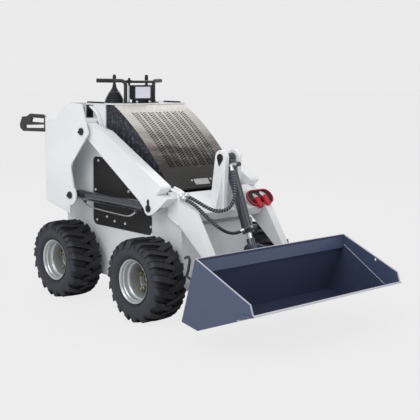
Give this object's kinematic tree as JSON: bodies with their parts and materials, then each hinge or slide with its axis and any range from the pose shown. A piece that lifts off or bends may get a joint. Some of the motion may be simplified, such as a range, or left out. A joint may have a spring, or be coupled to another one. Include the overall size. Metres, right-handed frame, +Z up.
{
  "type": "mini loader",
  "caption": "Compact wheeled loader with a lifting boom, a tilting bucket, hydraulic cylinders and lever controls on its deck.",
  "frame": {"origin": "centre of the bounding box on the ground, without the free hoses", "axes": "+X forward towards the bucket, +Y to the machine's left, +Z up"},
  "size_m": [2.296, 1.122, 1.328],
  "materials": {
    "white_paint": "satin",
    "blue_paint": "satin",
    "black_paint": "satin",
    "cylinder_paint": "gloss",
    "rim_paint": "satin",
    "steel_sheet": "brushed",
    "pin_steel": "satin",
    "zinc": "satin",
    "chrome_rod": "polished",
    "engine_iron": "rough",
    "axle_iron": "rough",
    "tyre": "matte",
    "boot_rubber": "matte",
    "hose_rubber": "matte",
    "black_plastic": "matte",
    "red_plastic": "satin",
    "lens": "gloss"
  },
  "bodies": {
    "chassis": {"chassis": "white_paint", "tower_left": "white_paint", "tower_right": "white_paint", "rear_panel": "white_paint", "deck": "white_paint", "hood": "steel_sheet", "hood_sides": "black_paint", "side_grilles": "black_paint", "engine": "engine_iron", "rear_handles": "black_paint", "tower_pins": "pin_steel", "axles": "axle_iron", "lever_boots": "boot_rubber", "levers": "black_plastic", "grab_bar": "black_paint", "lamp": "black_plastic", "lamp_lens": "lens"},
    "boom": {"arm_left": "white_paint", "arm_right": "white_paint", "cross_member": "white_paint", "mast": "white_paint", "boom_pins": "pin_steel", "couplers": "zinc", "coupler_caps": "red_plastic", "arm_pipes": "white_paint", "hose_upper": "hose_rubber", "hose_lower": "hose_rubber"},
    "bucket": {"bucket": "blue_paint", "cutting_edge": "blue_paint", "attach_plate": "blue_paint", "bucket_pins": "pin_steel"},
    "bucket_barrel": {"bucket_barrel": "cylinder_paint", "hose_elbows": "zinc"},
    "bucket_rod": {"bucket_rod": "chrome_rod"},
    "lift_barrel_left": {"lift_barrel_left": "cylinder_paint"},
    "lift_rod_left": {"lift_rod_left": "chrome_rod"},
    "lift_barrel_right": {"lift_barrel_right": "cylinder_paint"},
    "lift_rod_right": {"lift_rod_right": "chrome_rod"},
    "wheel_front_left": {"tyre_front_left": "tyre", "rim_front_left": "rim_paint"},
    "wheel_front_right": {"tyre_front_right": "tyre", "rim_front_right": "rim_paint"},
    "wheel_rear_left": {"tyre_rear_left": "tyre", "rim_rear_left": "rim_paint"},
    "wheel_rear_right": {"tyre_rear_right": "tyre", "rim_rear_right": "rim_paint"}
  },
  "joints": [
    {"name": "boom_lift", "type": "hinge", "parent": "chassis", "child": "boom", "pos_m": [-0.45302, 0, 0.996], "axis": [0, -1, 0], "range_deg": [0, 80]},
    {"name": "bucket_tilt", "type": "hinge", "parent": "boom", "child": "bucket", "pos_m": [0.60898, 0, 0.235], "axis": [0, 1, 0], "range_deg": [0, 85]},
    {"name": "bucket_cylinder_swing", "type": "hinge", "parent": "boom", "child": "bucket_barrel", "pos_m": [0.37198, 0, 0.884], "axis": [0, -1, 0], "range_deg": [-1, 20], "deforming": ["hose_upper", "hose_lower"]},
    {"name": "bucket_rod_slide", "type": "slide", "parent": "bucket_barrel", "child": "bucket_rod", "axis": [0.3853, 0, -0.9228], "range_m": [-0.002, 0.21]},
    {"name": "lift_cylinder_swing_left", "type": "hinge", "parent": "chassis", "child": "lift_barrel_left", "pos_m": [-0.57902, 0, 0.61], "axis": [0, -1, 0], "range_deg": [-1, 60]},
    {"name": "lift_rod_slide_left", "type": "slide", "parent": "lift_barrel_left", "child": "lift_rod_left", "axis": [1, 0, -0.0056], "range_m": [-0.002, 0.4]},
    {"name": "lift_cylinder_swing_right", "type": "hinge", "parent": "chassis", "child": "lift_barrel_right", "pos_m": [-0.57902, 0, 0.61], "axis": [0, -1, 0], "range_deg": [-1, 60]},
    {"name": "lift_rod_slide_right", "type": "slide", "parent": "lift_barrel_right", "child": "lift_rod_right", "axis": [1, 0, -0.0056], "range_m": [-0.002, 0.4]},
    {"name": "wheel_front_left_spin", "type": "hinge", "parent": "chassis", "child": "wheel_front_left", "pos_m": [0.17998, 0.42, 0.2285], "axis": [0, 1, 0], "continuous": true},
    {"name": "wheel_front_right_spin", "type": "hinge", "parent": "chassis", "child": "wheel_front_right", "pos_m": [0.17998, -0.42, 0.2285], "axis": [0, 1, 0], "continuous": true},
    {"name": "wheel_rear_left_spin", "type": "hinge", "parent": "chassis", "child": "wheel_rear_left", "pos_m": [-0.58602, 0.42, 0.2285], "axis": [0, 1, 0], "continuous": true},
    {"name": "wheel_rear_right_spin", "type": "hinge", "parent": "chassis", "child": "wheel_rear_right", "pos_m": [-0.58602, -0.42, 0.2285], "axis": [0, 1, 0], "continuous": true}
  ],
  "couplings": [
    {"joint": "bucket_cylinder_swing", "follows": "bucket_tilt", "ratio": 0.17},
    {"joint": "bucket_rod_slide", "follows": "bucket_tilt", "m_per_rad": 0.1325},
    {"joint": "lift_cylinder_swing_left", "follows": "boom_lift", "ratio": 0.7},
    {"joint": "lift_rod_slide_left", "follows": "boom_lift", "m_per_rad": 0.268},
    {"joint": "lift_cylinder_swing_right", "follows": "boom_lift", "ratio": 0.7},
    {"joint": "lift_rod_slide_right", "follows": "boom_lift", "m_per_rad": 0.268}
  ]
}
